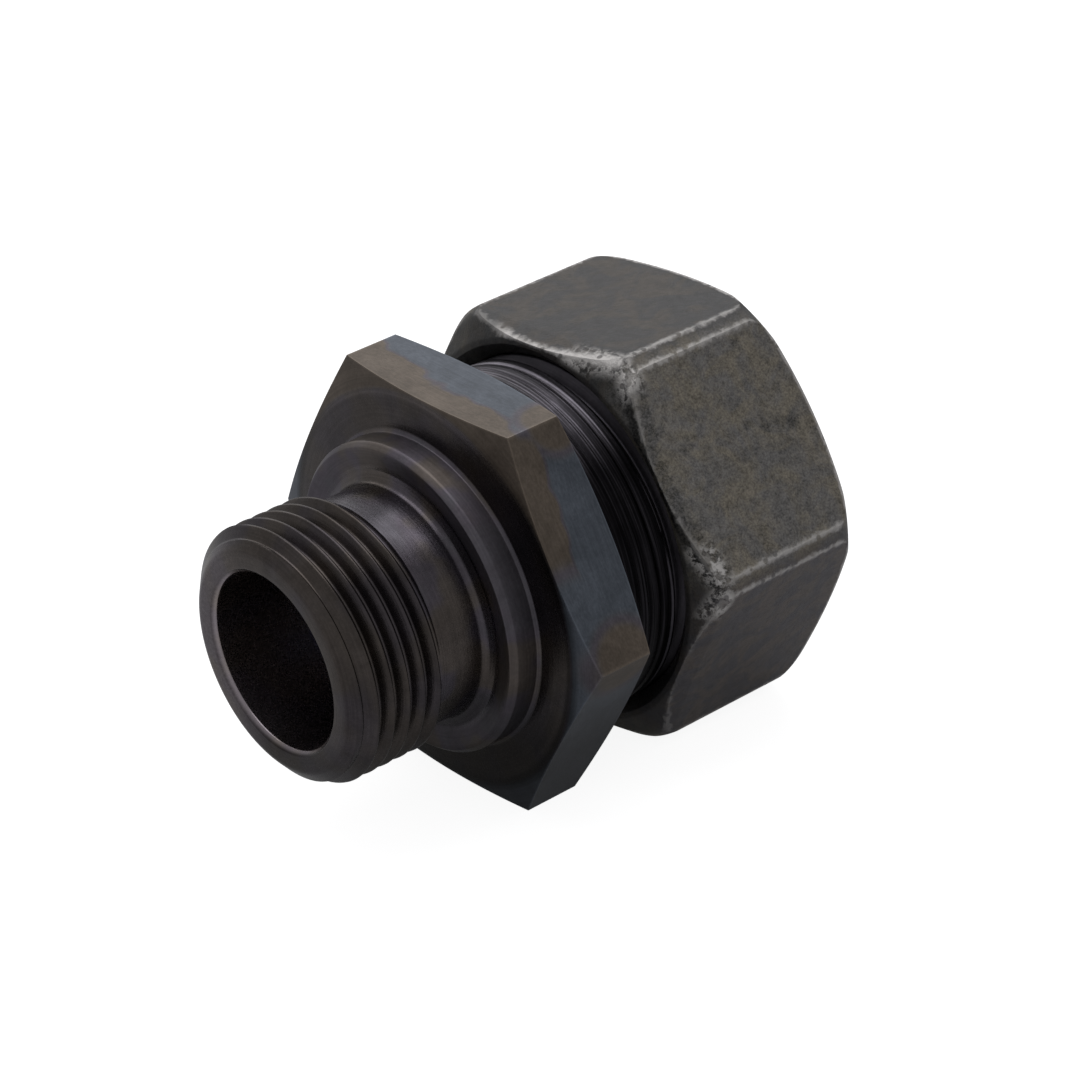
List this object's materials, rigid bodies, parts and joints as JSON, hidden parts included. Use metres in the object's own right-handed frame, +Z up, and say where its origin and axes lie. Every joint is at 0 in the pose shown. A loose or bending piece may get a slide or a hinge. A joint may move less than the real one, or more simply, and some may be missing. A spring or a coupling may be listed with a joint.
{
  "type": "straight compression fitting",
  "caption": "Straight cutting-ring compression fitting in blackened steel: threaded stud with sealing collar, hexagon body, cutting ring and union nut.",
  "frame": {"origin": "centre of the stud bore in the plane of the collar's sealing edge, on the fitting's axis", "axes": "+X along the fitting's axis from the stud to the tube end, +Z up as the fitting lies on a table"},
  "size_m": [0.0556, 0.0474, 0.042],
  "materials": {
    "tempered_steel": "satin, turned, with brown and blue temper bands",
    "ring_steel": "fine turned, hardened",
    "forged_steel": "matte forged grain with bare worn edges"
  },
  "bodies": {
    "body": {"fitting_body": "tempered_steel"},
    "ring": {"cutting_ring": "ring_steel"},
    "nut": {"union_nut": "forged_steel"}
  },
  "joints": [
    {"name": "ring_travel", "type": "slide", "parent": "body", "child": "ring", "axis": [1, 0, 0], "range_m": [0, 0.009]},
    {"name": "nut_turn", "type": "hinge", "parent": "ring", "child": "nut", "pos_m": [0.029, 0, 0], "axis": [1, 0, 0], "range_deg": [0, 1620]}
  ],
  "couplings": [
    {"joint": "ring_travel", "follows": "nut_turn", "m_per_rad": 0.00031831}
  ]
}
